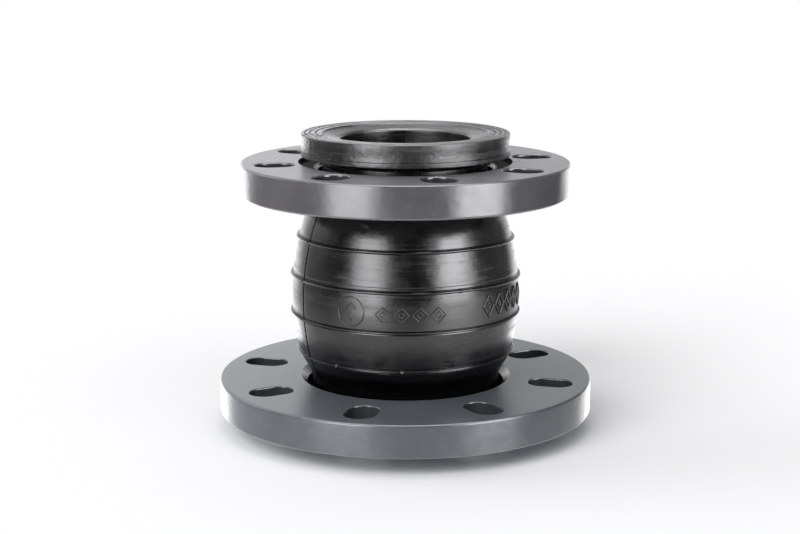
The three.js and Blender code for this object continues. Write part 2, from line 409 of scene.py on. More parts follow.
def pvc_material(name, tone, top_rough=0.30, side_rough=0.27, seed=0.0, ringed=0.1, seat=None, slots=(0.0, 0.0)):
    """Grey PVC-U: a satin moulded skin, turned rings on the flat faces, handling marks and dust."""
    mat, nt, bsdf = new_material(name)
    n = Nodes(nt)
    pos, nor = n.coords()
    ang, rad, z = n.polar(pos)
    _, _, nz = n.split(nor)
    flat = n.step(n.math("ABSOLUTE", nz), 0.85, 0.97)
    rings = n.noise(None, 2600.0, 2.0, 0.7, dims="1D", w=n.math("ADD", rad, seed))
    broad_rings = n.noise(None, 260.0, 3.0, 0.6, dims="1D", w=n.math("ADD", rad, seed + 0.31))
    around = n.join(n.math("MULTIPLY", ang, 0.1), rad, z)
    streak = n.noise(n.scale(around, (55.0, 700.0, 900.0)), 1.0, 5.0, 0.65, 0.3)
    cloud = n.noise(n.vmath("ADD", pos, (seed, 0.0, 0.0)), 24.0, 5.0, 0.55, 0.5)
    mottle = n.noise(pos, 150.0, 5.0, 0.65, 0.4)
    marks = n.noise(n.scale(pos, (60.0, 240.0, 240.0)), 1.0, 6.0, 0.7, 1.2)
    specks = n.voronoi(pos, 700.0)
    speck = n.math("MULTIPLY", n.step(specks, 0.085, 0.02), n.step(mottle, 0.5, 0.62))
    light = tuple(c * 1.12 for c in tone)
    dark = tuple(c * 0.93 for c in tone)
    c0 = n.mix(n.step(cloud, 0.32, 0.68), (*dark, 1.0), (*light, 1.0))
    c1 = n.mix(n.math("MULTIPLY", n.step(mottle, 0.5, 0.75), 0.25), c0, (tone[0] * 1.6, tone[1] * 1.6, tone[2] * 1.6, 1.0))
    c2 = n.mix(n.math("MULTIPLY", n.step(marks, 0.62, 0.8), 0.10), c1, (0.13, 0.13, 0.14, 1.0))
    c3 = n.mix(n.math("MULTIPLY", speck, 0.6), c2, (0.3, 0.3, 0.3, 1.0))
    # painted shade: the slots' walls are darkened, standing in for the shade inside the slots
    wall = n.math("MULTIPLY", n.step(rad, slots[0], slots[0] + 0.001), n.step(rad, slots[1], slots[1] - 0.001))
    wall = n.math("MULTIPLY", wall, n.step(n.math("ABSOLUTE", nz), 0.55, 0.25))
    c3 = n.mix(n.math("MULTIPLY", wall, 0.62), c3, (0.012, 0.012, 0.014, 1.0))
    if seat is not None:
        # painted shade: the floor of the collar's seat, in the shade under the collar, is darkened to near black and
        # reflects less
        dull = n.math("MULTIPLY", n.step(rad, seat[0], seat[0] - 0.0005), n.step(z, seat[1], seat[1] + 0.0006))
        dull = n.math("MULTIPLY", dull, n.step(rad, seat[2], seat[2] + 0.0006))
        c3 = n.mix(n.math("MULTIPLY", dull, 0.96), c3, (0.003, 0.003, 0.0032, 1.0))
        n.put(bsdf.inputs["Specular IOR Level"], n.math("SUBTRACT", 0.5, n.math("MULTIPLY", dull, 0.4)))
    n.put(bsdf.inputs["Base Color"], c3)
    r_flat = n.math("ADD", top_rough, n.linear(broad_rings, 0.3, 0.7, -0.015, 0.015))
    r_flat = n.math("ADD", r_flat, n.linear(cloud, 0.3, 0.7, -0.02, 0.03))
    r_side = n.math("ADD", side_rough, n.linear(mottle, 0.3, 0.7, -0.03, 0.05))
    mixr = nt.nodes.new("ShaderNodeMix")
    mixr.data_type = "FLOAT"
    n.put(mixr.inputs[0], flat)
    n.put(mixr.inputs[2], r_side)
    n.put(mixr.inputs[3], r_flat)
    scuffs = n.noise(n.scale(around, (90.0, 240.0, 1100.0)), 1.0, 6.0, 0.7, 1.0)
    scuff = n.math("MULTIPLY", n.step(scuffs, 0.54, 0.72), n.step(cloud, 0.38, 0.6))
    scuff = n.math("MULTIPLY", scuff, n.linear(flat, 0.0, 1.0, 1.0, 0.2))
    r0 = n.math("ADD", mixr.outputs[0], n.math("MULTIPLY", n.step(marks, 0.6, 0.8), 0.015))
    r = n.math("ADD", r0, n.math("MULTIPLY", scuff, 0.09), clamp=True)
    # the painted-shade seat floor is also made rough
    if seat is not None:
        r = n.math("MAXIMUM", r, n.math("MULTIPLY", dull, 0.6))
    n.put(bsdf.inputs["Roughness"], r)
    bsdf.inputs["IOR"].default_value = 1.53
    fine = n.noise(pos, 1300.0, 3.0, 0.6)
    b1 = n.bump(fine, 0.25, 0.00005)
    b2 = n.bump(n.math("MULTIPLY", rings, flat), ringed, 0.00006, b1)
    calm = n.linear(flat, 0.0, 1.0, 1.0, 0.12)
    b3 = n.bump(n.math("MULTIPLY", streak, calm), 0.16, 0.00006, b2)
    b4 = n.bump(speck, 0.4, 0.00010, b3)
    b5 = n.bump(n.math("MULTIPLY", n.noise(pos, 210.0, 3.0, 0.55, 0.3), calm), 0.8, 0.00008, b4)
    b6 = n.bump(n.math("MULTIPLY", n.noise(pos, 70.0, 2.0, 0.5), calm), 0.9, 0.00020, b5)
    n.put(bsdf.inputs["Normal"], b6)
    return mat


def cord_material(name, lean):
    """Rubber-dipped nylon tyre cord: parallel cords that lean round the wall."""
    mat, nt, bsdf = new_material(name)
    n = Nodes(nt)
    pos, _ = n.coords()
    ang, rad, z = n.polar(pos)
    phase = n.math("ADD", n.math("MULTIPLY", ang, 130.0), n.math("MULTIPLY", z, 2600.0 * lean))
    wave = n.math("SINE", phase)
    cord = n.linear(wave, -1.0, 1.0)
    twist = n.math("SINE", n.math("ADD", n.math("MULTIPLY", z, 9000.0), n.math("MULTIPLY", phase, 0.5)))
    gum = n.noise(pos, 120.0, 4.0, 0.6)
    c = n.mix(n.step(cord, 0.2, 0.75), (0.10, 0.085, 0.06, 1.0), (0.46, 0.40, 0.29, 1.0))
    c = n.mix(n.math("MULTIPLY", n.step(gum, 0.5, 0.7), 0.5), c, (0.06, 0.055, 0.05, 1.0))
    n.put(bsdf.inputs["Base Color"], c)
    bsdf.inputs["Roughness"].default_value = 0.78
    b = n.bump(n.math("ADD", cord, n.math("MULTIPLY", twist, 0.12)), 0.6, 0.00035)
    n.put(bsdf.inputs["Normal"], b)
    return mat


def wire_material(name):
    """Bronze-coated hard steel bead wire."""
    mat, nt, bsdf = new_material(name)
    n = Nodes(nt)
    pos, _ = n.coords()
    ang, rad, z = n.polar(pos)
    around = n.join(n.math("MULTIPLY", ang, 0.06), rad, z)
    draw = n.noise(n.scale(around, (60.0, 4200.0, 4200.0)), 1.0, 4.0, 0.6)
    tint = n.noise(pos, 90.0, 4.0, 0.6)
    c = n.mix(n.step(tint, 0.35, 0.7), (0.50, 0.33, 0.16, 1.0), (0.62, 0.50, 0.33, 1.0))
    n.put(bsdf.inputs["Base Color"], c)
    bsdf.inputs["Metallic"].default_value = 1.0
    n.put(bsdf.inputs["Roughness"], n.linear(draw, 0.3, 0.7, 0.24, 0.42))
    n.put(bsdf.inputs["Normal"], n.bump(draw, 0.3, 0.00005))
    return mat


M_COVER = rubber_material("rubber_cover", tone=(0.0010, 0.0010, 0.0011), rough=0.245, scuff=0.8, bloom=0.10, grain=0.9,
                          cover=True, lumpy=0.4)
# the collar's shade tuple places painted shade: the height band of the darkened underside and the bore radius inside
# which it is darkened
M_COLLAR = rubber_material("rubber_collar", tone=(0.018, 0.018, 0.0185), rough=0.27, scuff=1.3, bloom=0.75, grain=2.4,
                           dust=(0.050, 0.050, 0.051), lumpy=1.6, shade=(0.10, 0.1662, 0.0398))
M_LINER = rubber_material("rubber_liner", tone=(0.012, 0.012, 0.0125), rough=0.36, scuff=0.4, bloom=0.15)
M_MIDDLE = rubber_material("rubber_middle", tone=(0.02, 0.019, 0.018), rough=0.6, scuff=0.2, bloom=0.1)
M_PLY_A = cord_material("nylon_cord_a", 1.0)
M_PLY_B = cord_material("nylon_cord_b", -1.0)
M_WIRE = wire_material("bead_wire")
# seat places the painted shade on the seat floor under the collar
M_PVC_UP = pvc_material("pvc_upper", (0.101, 0.098, 0.109), seed=0.17, side_rough=0.19, top_rough=0.33, ringed=0.06,
                        seat=(0.0653, 0.1570, 0.0553), slots=(0.0670, 0.0940))
# slots, here and above, gives the radii of the painted shade on the slots' walls
M_PVC_LOW = pvc_material("pvc_lower", (0.088, 0.097, 0.110), seed=0.63, side_rough=0.22, top_rough=0.30, ringed=0.14,
                         slots=(0.0770, 0.1065))


def finish_piece(obj, body, node, material):
    obj.data.materials.clear()
    obj.data.materials.append(material)
    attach(obj, body)
    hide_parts(node)
    return obj


# ------------------------------------------------------------------ the flexing wall
LENGTH = 180.0
WALL = np.array([
    [17.3, 57.6], [26.0, 57.4], [32.0, 57.8], [36.0, 59.6], [40.0, 62.1], [44.0, 64.3],
    [52.0, 66.4], [61.0, 67.9], [65.5, 68.5], [70.7, 69.05], [75.0, 69.3], [80.0, 69.42], [87.0, 69.35],
    [91.0, 69.15], [95.0, 68.85], [98.4, 68.45], [102.2, 67.9], [105.9, 67.3], [109.7, 66.6], [113.3, 65.85],
    [118.0, 64.75], [122.0, 63.72], [126.0, 62.5], [128.0, 61.8], [130.0, 60.95], [132.0, 59.9], [134.0, 58.6],
    [137.0, 56.4], [140.0, 54.4], [144.0, 52.5], [150.0, 50.9], [162.7, 49.6]])
STATIONS = np.array([17.3, 32.0, 44.0, 61.0, 89.0, 111.0, 126.7, 144.0, 162.7])
COVER_THICK = np.array([2.4, 2.4, 2.8, 3.0, 3.0, 3.0, 2.8, 2.7, 2.7])
LINER_THICK = np.array([2.3, 2.6, 2.8, 3.0, 3.0, 3.0, 2.9, 2.9, 2.7])
GAP, PLY, MIDDLE = 0.35, 0.85, 1.0
Z0, Z1 = 17.35, 162.65
FOLLOW = (38.0, 138.0)      # the wall bends between these heights


def smooth_wall():
    """The wall's outline on a fine grid, eased so its curvature has no kinks."""
    step, sigma = 0.25, 1.5
    z = np.arange(0.0, 180.0, step)
    r = pchip(WALL[:, 0], WALL[:, 1], np.clip(z, WALL[0, 0], WALL[-1, 0]))
    k = np.arange(-24, 25) * step
    kernel = np.exp(-0.5 * (k / sigma) ** 2)
    eased = np.convolve(np.pad(r, 24, mode="edge"), kernel / kernel.sum(), mode="valid")
    return z, eased


WALL_Z, WALL_R = smooth_wall()


def wall_radius(z):
    return np.interp(z, WALL_Z, WALL_R)


def cover_inner(z):
    return wall_radius(z) - pchip(STATIONS, COVER_THICK, z)


def follow_weights(obj):
    """The wall follows the upper end: nothing below the first height, everything above the second."""
    co = np.empty(len(obj.data.vertices) * 3)
    obj.data.vertices.foreach_get("co", co)
    z = co.reshape(-1, 3)[:, 2] / MM
    t = np.clip((z - FOLLOW[0]) / (FOLLOW[1] - FOLLOW[0]), 0, 1)
    w = t * t * (3 - 2 * t)
    group = obj.vertex_groups.new(name="follow_upper_end")
    steps = np.round(w * 500).astype(int)
    for s in np.unique(steps):
        if s > 0:
            group.add([int(i) for i in np.nonzero(steps == s)[0]], s / 500.0, "REPLACE")
    mod = obj.modifiers.new("follow_upper_end", "HOOK")
    mod.object = frame["bodies"]["upper_end"]
    mod.vertex_group = group.name
    mod.falloff_type = "NONE"
    mod.strength = 1.0
    mod.matrix_inverse = Matrix.Identity(4)
    mod.center = (0.0, 0.0, 0.0)


def angles_with_detail(n, places, half=1.6, step=0.12):
    a = list(np.degrees(even_angles(n)))
    for p in places:
        p %= 360.0
        a = [x for x in a if min(abs(x - p), 360 - abs(x - p)) > half]
        a += list((p + np.arange(-half, half + 1e-6, step)) % 360.0)
    return np.radians(np.array(sorted(a)))


def seam_distance(th, r):
    """Signed distance in mm, round the wall, to the nearest parting line."""
    best = np.full_like(th, 1e9)
    for s in SEAMS:
        d = (th - math.radians(s) + math.pi) % (2 * math.pi) - math.pi
        d = d * r
        best = np.where(np.abs(d) < np.abs(best), d, best)
    return best


RIBS = [(47.5, 1.55, 0.55), (71.2, 1.4, 0.66), (94.9, 1.6, 0.70), (118.0, 1.75, 0.70)]


def cover_section():
    zs = list(np.arange(Z0, Z1, 0.8)) + [Z1]
    rib_free = [z for z in zs if all(abs(z - h) > w + 1.5 for h, _, w in RIBS) and abs(z - 97.6) > 0.9]
    pts = [(z, 0.0) for z in rib_free]
    # a faint witness step of the mould above the second rib
    pts += [(96.9, 0.0), (97.25, 0.02), (97.5, -0.12), (97.7, -0.14), (97.95, 0.0), (98.4, 0.0)]
    for h, tall, w in RIBS:
        for a, drop in ((1.0, 0.0), (0.42, 0.0), (0.26, -0.12), (0.12, -0.26), (0.04, -0.26)):
            pts.append((h - w - a, drop))
            pts.append((h + w + a, drop))
        for a in np.linspace(4, 176, 15):
            a = math.radians(a)
            pts.append((h - w * math.cos(a), tall * math.sin(a) ** 0.55))
    pts.sort()
    z = np.array([p[0] for p in pts])
    r = wall_radius(z) + np.array([p[1] for p in pts])
    zi = np.linspace(Z1, Z0, 56)
    return np.concatenate([np.stack([r, z], -1), np.stack([cover_inner(zi), zi], -1)])


def ease(t):
    t = np.clip(t, 0.0, 1.0)
    return t * t * (3 - 2 * t)


def cover_shift(r, z, th):
    base = wall_radius(np.clip(z, 17.3, 162.7))
    outside = r > base - 1.0
    fade = np.clip((z - 18.0) / 8.0, 0, 1) * np.clip((161.0 - z) / 12.0, 0, 1)
    d = seam_distance(th, r)
    # the two mould halves' ribs don't quite meet: the upper two sag towards one side
    deg = (np.degrees(th) + 180.0) % 360.0 - 180.0
    sag = -1.25 * ease((deg - 32.0) / 48.0) * (1 - ease((deg - 119.0) / 3.0))
    sag = sag * np.maximum(np.exp(-((z - 94.9) / 5.0) ** 4), np.exp(-((z - 118.0) / 5.0) ** 4))
    dz = np.where(outside, sag, 0.0)
    dr = wall_radius(np.clip(z + dz, 17.3, 162.7)) - base
    notch = -np.maximum(r - base, 0.0) * 0.9 * np.exp(-(d / 0.7) ** 2)
    groove = -0.95 * np.exp(-(d / 0.55) ** 2)
    step = 0.06 * np.tanh(d / 0.5) * np.exp(-(d / 6.0) ** 2)
    soft = waves(th, z, 5, 0.075) + waves(th, z, 9, 0.022, 9, 22, 6.0, 16.0)
    return np.where(outside, dr + notch + fade * (groove + step + soft), 0.0), dz


def stroke(path, closed, width, height, theta0, z0):
    """A raised moulded line on the barrel. path is (distance round, height) in mm about theta0, z0."""
    p = np.array(path, float)
    n = len(p)
    nxt = np.roll(p, -1, 0) if closed else np.vstack([p[1:], p[-1:]])
    prv = np.roll(p, 1, 0) if closed else np.vstack([p[:1], p[:-1]])
    t = nxt - prv
    t /= np.maximum(np.linalg.norm(t, axis=1), 1e-9)[:, None]
    side = np.stack([-t[:, 1], t[:, 0]], -1)
    shape = [(-0.5, -0.55), (-0.46, 0.25), (-0.36, 0.72), (-0.16, 0.97), (0.16, 0.97), (0.36, 0.72), (0.46, 0.25), (0.5, -0.55)]
    verts = []
    for i in range(n):
        for a, b in shape:
            u, v = p[i] + side[i] * a * width
            z = z0 + v
            base = float(wall_radius(z))
            th = theta0 + u / base
            r = base + b * height
            verts.append((r * math.sin(th), -r * math.cos(th), z))
    k = len(shape)
    faces = []
    for i in range(n if closed else n - 1):
        i2 = (i + 1) % n
        for j in range(k):
            j2 = (j + 1) % k
            faces.append((i * k + j, i * k + j2, i2 * k + j2, i2 * k + j))
    if not closed:
        faces.append(tuple(reversed(range(k))))
        faces.append(tuple((n - 1) * k + j for j in range(k)))
    return verts, faces


def dome(theta, z, radius, height):
    """A small moulded pip standing on the barrel."""
    base = float(wall_radius(z))
    verts, faces = [], []
    rings, seg = 5, 14
    for i in range(rings + 1):
        a = math.pi / 2 * i / rings
        rr, hh = radius * math.cos(a), height * math.sin(a) - 0.3
        if i == rings:
            verts.append((0.0, 0.0, hh))
            break
        for j in range(seg):
            b = 2 * math.pi * j / seg
            verts.append((rr * math.cos(b), rr * math.sin(b), hh))
    for i in range(rings - 1):
        for j in range(seg):
            j2 = (j + 1) % seg
            faces.append((i * seg + j, i * seg + j2, (i + 1) * seg + j2, (i + 1) * seg + j))
    top = rings * seg
    for j in range(seg):
        faces.append(((rings - 1) * seg + j, (rings - 1) * seg + (j + 1) % seg, top))
    faces.append(tuple(reversed(range(seg))))
    out = []
    for u, v, h in verts:
        r = base + h
        th = theta + u / base
        out.append((r * math.sin(th), -r * math.cos(th), z + v))
    return out, faces


def rounded_rect(w, h, rad, n=5):
    pts = []
    for cx, cy, a0 in ((w / 2 - rad, h / 2 - rad, 0), (-w / 2 + rad, h / 2 - rad, 90),
                       (-w / 2 + rad, -h / 2 + rad, 180), (w / 2 - rad, -h / 2 + rad, 270)):
        for i in range(n + 1):
            a = math.radians(a0 + 90 * i / n)
            pts.append((cx + rad * math.cos(a), cy + rad * math.sin(a)))
    out = []
    for i in range(len(pts)):
        p, q = np.array(pts[i]), np.array(pts[(i + 1) % len(pts)])
        k = max(1, int(np.linalg.norm(q - p) / 1.0))
        out += [tuple(p + (q - p) * j / k) for j in range(k)]
    return out


def line_points(a, b, step=0.8):
    a, b = np.array(a, float), np.array(b, float)
    k = max(2, int(np.linalg.norm(b - a) / step))
    return [tuple(a + (b - a) * i / k) for i in range(k + 1)]


def moved(points, u, v):
    return [(x + u, y + v) for x, y in points]


def diamond(w, h, u=0.0, v=0.0, n=6):
    corners = [(w / 2, 0), (0, h / 2), (-w / 2, 0), (0, -h / 2)]
    out = []
    for i in range(4):
        p, q = np.array(corners[i], float), np.array(corners[(i + 1) % 4], float)
        out += [tuple(p + (q - p) * j / n + (u, v)) for j in range(n)]
    return out


def cover_relief():
    """Plain moulded relief: a round flow mark and two rows of diamonds. There is no lettering."""
    parts = []
    circle = lambda r, n=72: [(r * math.cos(2 * math.pi * i / n), r * math.sin(2 * math.pi * i / n)) for i in range(n)]
    th = math.radians(-27.4)
    parts.append(stroke(circle(8.5), True, 0.9, 0.5, th, 82.8))
    parts.append(stroke(line_points((0, -5.2), (0, 5.0)), False, 1.0, 0.45, th, 82.8))
    parts.append(stroke(line_points((-3.1, 1.7), (0, 5.2)), False, 1.0, 0.45, th, 82.8))
    parts.append(stroke(line_points((3.1, 1.7), (0, 5.2)), False, 1.0, 0.45, th, 82.8))
    th = math.radians(2.5)
    for k in range(4):
        u = -16.4 + k * 10.9
        parts.append(stroke(diamond(9.0, 9.0, u), True, 0.75, 0.62, th, 82.0))
        parts.append(stroke(diamond(3.9, 3.9, u, n=4), True, 0.75, 0.55, th, 82.0))
    th = math.radians(61.0)
    for k in range(5):
        u = -20.0 + k * 10.0
        parts.append(stroke(diamond(8.6, 12.6, u), True, 1.25, 0.95, th, 83.5))
        parts.append(stroke(diamond(2.6, 4.0, u, n=4), True, 1.1, 0.8, th, 83.5))
    # vent pips across the ribs
    for deg, z, rad, tall in ((27.5, 94.9, 1.5, 2.1), (-38.0, 47.3, 1.75, 2.3), (-2.0, 47.1, 1.75, 2.3),
                              (70.0, 47.3, 1.3, 1.6), (150.0, 94.9, 1.4, 2.0), (-140.0, 71.2, 1.4, 2.0)):
        parts.append(dome(math.radians(deg), z, rad, tall))
    return parts


def build_cover():
    verts, faces = turned(cover_section(), angles_with_detail(320, SEAMS, half=1.9, step=0.14), cover_shift)
    verts = [tuple(v) for v in verts]
    for v, f in cover_relief():
        base = len(verts)
        verts += v
        faces += [tuple(base + i for i in face) for face in f]
    obj = make_object("outer_cover_fine", np.array(verts), faces)
    finish_piece(obj, "lower_end", "outer_cover", M_COVER)
    follow_weights(obj)
    return obj


def layer_section(outer_offset, inner_offset, n=64):
    zu, zd = np.linspace(Z0, Z1, n), np.linspace(Z1, Z0, n)
    return np.concatenate([
        np.stack([cover_inner(zu) - outer_offset, zu], -1),
        np.stack([cover_inner(zd) - inner_offset, zd], -1)])


build_cover()
o = GAP
for name, thick, material, slot_name in (
        ("outer_cord_ply", PLY, M_PLY_A, "nylon_cord"),
        ("middle_rubber", MIDDLE, M_MIDDLE, "inner_rubber"),
        ("inner_cord_ply", PLY, M_PLY_B, "nylon_cord")):
    obj = turned_object(name + "_fine", layer_section(o, o + thick), even_angles(144))
    finish_piece(obj, "lower_end", name, material)
    follow_weights(obj)
    o += thick + GAP

LOWER = dict(bore=48.5, collar=76.0, thick=13.5, cover=55.2, neck=57.6, bead=66.5)
UPPER = dict(bore=39.2, collar=63.5, thick=13.8, cover=46.9, neck=49.6, bead=55.0)


def build_liner():
    zu, zd = np.linspace(Z0, Z1, 90), np.linspace(Z1, Z0, 90)
    outer = cover_inner(zu) - o
    thick = pchip(STATIONS, LINER_THICK, zd)
    inner = cover_inner(zd) - o - thick
    # the bore runs straight into the collars at both ends
    a = np.clip((zd - 17.3) / 14.0, 0, 1)
    b = np.clip((162.7 - zd) / 14.0, 0, 1)
    a, b = a * a * (3 - 2 * a), b * b * (3 - 2 * b)
    inner = LOWER["bore"] * (1 - a) + inner * a
    inner = UPPER["bore"] * (1 - b) + inner * b
    sec = np.concatenate([np.stack([outer, zu], -1), np.stack([inner, zd], -1)])
    obj = turned_object("inner_liner_fine", sec, even_angles(224),
                        lambda r, z, th: np.where(r < cover_inner(np.clip(z, 17.3, 162.7)) - o - 0.6,
                                                  waves(th, z, 21, 0.05) * np.clip((z - 18) / 10, 0, 1) * np.clip((161 - z) / 10, 0, 1), 0.0))
    finish_piece(obj, "lower_end", "inner_liner", M_LINER)
    follow_weights(obj)


build_liner()


# ------------------------------------------------------------------ beaded ends
def add_crumb(verts, faces, theta, r, z, size, rng):
    """A small torn lump of rubber, sunk half into the surface."""
    base = len(verts)
    seg, rows = 7, 4
    cx, cy = r * math.sin(theta), -r * math.cos(theta)
    turn, long = rng.uniform(0, 6.28), rng.uniform(0.8, 1.7)
    for i in range(1, rows):
        a = math.pi * i / rows
        for j in range(seg):
            b = 2 * math.pi * j / seg
            k = size * rng.uniform(0.7, 1.2)
            x, y = k * long * math.sin(a) * math.cos(b), k * math.sin(a) * math.sin(b)
            verts.append((cx + x * math.cos(turn) - y * math.sin(turn), cy + x * math.sin(turn) + y * math.cos(turn),
                          z + 0.55 * k * math.cos(a)))
    verts.append((cx, cy, z + 0.5 * size))
    verts.append((cx, cy, z - 0.5 * size))
    top, bottom = len(verts) - 2, len(verts) - 1
    for i in range(rows - 2):
        for j in range(seg):
            j2 = (j + 1) % seg
            faces.append((base + i * seg + j, base + (i + 1) * seg + j, base + (i + 1) * seg + j2, base + i * seg + j2))
    last = base + (rows - 2) * seg
    for j in range(seg):
        j2 = (j + 1) % seg
        faces.append((top, base + j, base + j2))
        faces.append((bottom, last + j2, last + j))


def beaded_end(name, e, at_top, body):
    top = lambda s: LENGTH - s if at_top else s
    place = lambda sec: np.array([[r, top(s)] for r, s in sec])
    flip = lambda sec: sec
    back_top = e["thick"] - 3.3
    inside = back_top - GAP
    g_in, g_out = e["bead"] - 4.15, e["bead"] + 4.15
    c = e["collar"]
    # sealing collar: bore, lip, dish, then stepped sealing rings out to the rim
    corners = [(e["bore"], 16.95, 0.0), (e["bore"], 3.8, 1.2), (e["bore"] + 1.6, 2.7, 1.2),
               (c - 13.2, 1.05, 0.8)]
    lands = [(c - 12.6, c - 9.55, 0.30), (c - 8.7, c - 6.0, 0.12), (c - 5.2, c - 3.2, 0.02)]
    for a, b, s in lands:
        corners += [(a, s, 0.2), (b, s, 0.25), (b + 0.12, s + 0.75, 0.1), (b + 0.70, s + 0.70, 0.1)]
    split = back_top + 0.10      # where the rubber ring and its back meet at the rim
    corners += [(c - 2.35, 0.0, 0.25), (c - 0.15, 0.0, 0.9), (c, 5.0, 6.0), (c - 0.05, split, 0.12),
                (g_out + 0.6, split, 0.1), (g_out + 0.6, inside, 0.1), (g_out, inside, 0.1), (g_out, 3.2, 0.6),
                (g_in, 3.2, 0.6), (g_in, inside, 0.3),
                (e["cover"] - GAP, inside, 0.3), (e["cover"] - GAP, 16.95, 0.0)]
    sec = subdivided(rounded(corners), 1.4)

    def rim_swell(s, th):
        """The rim's uneven girth, shared by the ring and its back."""
        deg = (np.degrees(th) + 180.0) % 360.0 - 180.0
        waist = np.exp(-((s - 7.0) / 3.2) ** 2) * (0.25 + 0.45 * np.exp(-((deg - 85.0) / 55.0) ** 2))
        ripple = 0.035 * np.sin(th * 61 + 3 * np.sin(th * 5)) * np.sin(s * 0.9 + 2 * np.sin(th * 9))
        return waves(th, s, 31, 0.10, 8, 9, 10.0, 30.0) + ripple - waist - 0.06

    def rough_rim(r, z, th):
        s = (LENGTH - z) if at_top else z
        soft = rim_swell(s, th) * np.clip((s - 0.4) / 2.0, 0, 1) * (r > c - 1.0)
        # torn flash where the mould halves met, across the rings and the rim
        flash = np.zeros_like(r)
        rng = np.random.default_rng(77)
        for s0 in SEAMS:
            for _ in range(26):
                a0 = math.radians(s0 + rng.normal(-6.0, 5.0))
                r0 = rng.uniform(c - 12.0, c - 0.6)
                w = rng.uniform(0.35, 0.8)
                d2 = ((((th - a0 + math.pi) % (2 * math.pi)) - math.pi) * r0) ** 2 + (r - r0) ** 2
                flash += rng.uniform(0.25, 0.6) * np.exp(-d2 / w**2)
        on_face = (s < 1.6) & (r > c - 13.0)
        dz = np.where(on_face, -np.minimum(flash, 0.0 if not at_top else 0.75), 0.0)
        # the lower edge of the sealing rubber isn't cut quite true
        edge = (s > split - 0.5) & (r > c - 1.2)
        ragged = 0.10 * (0.5 + 0.5 * np.sin(th * 23 + 2 * np.sin(th * 7)))
        dz_edge = np.where(edge, -ragged, 0.0)
        seam = seam_distance(th, c)
        soft = soft + np.where((r > c - 0.9) & (s > 0.6), -0.35 * np.exp(-(seam / 0.35) ** 2), 0.0)
        # at the sealing plane nothing stands proud of the face
        dz = np.where(on_face, np.maximum(dz, -(s - 0.0)), dz) if not at_top else np.where(on_face, -np.minimum(-dz, s), dz)
        out_z = dz + dz_edge
        return soft, (-out_z if at_top else out_z)

    verts, faces = turned(place(sec), angles_with_detail(300, SEAMS if at_top else (), half=14.0, step=0.4), rough_rim)
    verts = [tuple(v) for v in verts]
    if at_top:
        # crumbs of flash left on the rings and torn bits along the joint line
        rng = np.random.default_rng(12)
        for _ in range(34):
            deg = -75.0 + rng.uniform(-6.5, 6.5)
            add_crumb(verts, faces, math.radians(deg), rng.uniform(c - 13.0, c - 1.5), LENGTH - rng.uniform(0.45, 0.9),
                      rng.uniform(0.8, 1.6), rng)
        for _ in range(20):
            deg = rng.choice((-49.0, -49.0, 130.0)) + rng.uniform(-10.0, 10.0)
            add_crumb(verts, faces, math.radians(deg), c - 0.05, LENGTH - split + rng.uniform(-0.2, 0.2),
                      rng.uniform(0.3, 0.6), rng)
    obj = make_object(name + "_sealing_collar_fine", np.array(verts), faces)
    finish_piece(obj, body, name + "_sealing_collar", M_COLLAR)

    if at_top:
        under = [(c - 0.5, e["thick"], 0.3), (e["neck"] + 0.8, 16.0, 0.8), (e["neck"], 16.9, 0.3)]
    else:
        under = [(c - 0.05, e["thick"], 0.6), (e["neck"] + 2.2, e["thick"], 2.6), (e["neck"], e["thick"] + 2.6, 2.0)]
    corners = [(e["cover"], back_top, 0.2), (g_out + 0.7, back_top, 0.1), (g_out + 0.7, split + 0.16, 0.1),
               (c - 0.05, split + 0.16, 0.12), (c - 0.1, e["thick"] - 0.35, 0.3), *under,
               (e["neck"], 16.95, 0.0), (e["cover"], 16.95, 0.0)]
    obj = turned_object(name + "_collar_back_fine", place(subdivided(rounded(corners), 1.2)), even_angles(300),
                        lambda r, z, th: np.where(r > c - 1.2, rim_swell((LENGTH - z) if at_top else z, th), 0.0))
    finish_piece(obj, body, name + "_collar_back", M_COLLAR)

    leg = inside - 0.1
    corners = [(e["bead"] - 3.8, leg, 0.3), (e["bead"] - 3.8, 3.5, 1.4), (e["bead"] + 3.8, 3.5, 1.4),
               (e["bead"] + 3.8, leg, 0.3), (e["bead"] + 2.95, leg, 0.3), (e["bead"] + 2.95, 4.35, 0.9),
               (e["bead"] - 2.95, 4.35, 0.9), (e["bead"] - 2.95, leg, 0.3)]
    obj = turned_object(name + "_bead_wrap_fine", place(rounded(corners)), even_angles(160))
    finish_piece(obj, body, name + "_bead_wrap", M_PLY_A)

    middle = (4.35 + inside) / 2
    for k, dr, ds in ((1, -1, -1), (2, 1, -1), (3, -1, 1), (4, 1, 1)):
        a = np.arange(14) * (2 * math.pi / 14)
        sec = np.stack([e["bead"] + dr * 1.3 + 1.13 * np.cos(a), middle + ds * 1.3 + 1.13 * np.sin(a)], -1)
        obj = turned_object(f"{name}_bead_wire_{k}_fine", place(sec), even_angles(160))
        finish_piece(obj, body, f"{name}_bead_wire_{k}", M_WIRE)


beaded_end("lower", LOWER, False, "lower_end")
beaded_end("upper", UPPER, True, "upper_end")


# ------------------------------------------------------------------ loose flanges
def slot_outline(half, rad, grow, n=14):
    r = rad + grow
    pts = []
    for i in range(n + 1):
        a = -math.pi / 2 + math.pi * i / n
        pts.append((half + r * math.cos(a), r * math.sin(a)))
    for i in range(n + 1):
        a = math.pi / 2 + math.pi * i / n
        pts.append((-half + r * math.cos(a), r * math.sin(a)))
    return pts


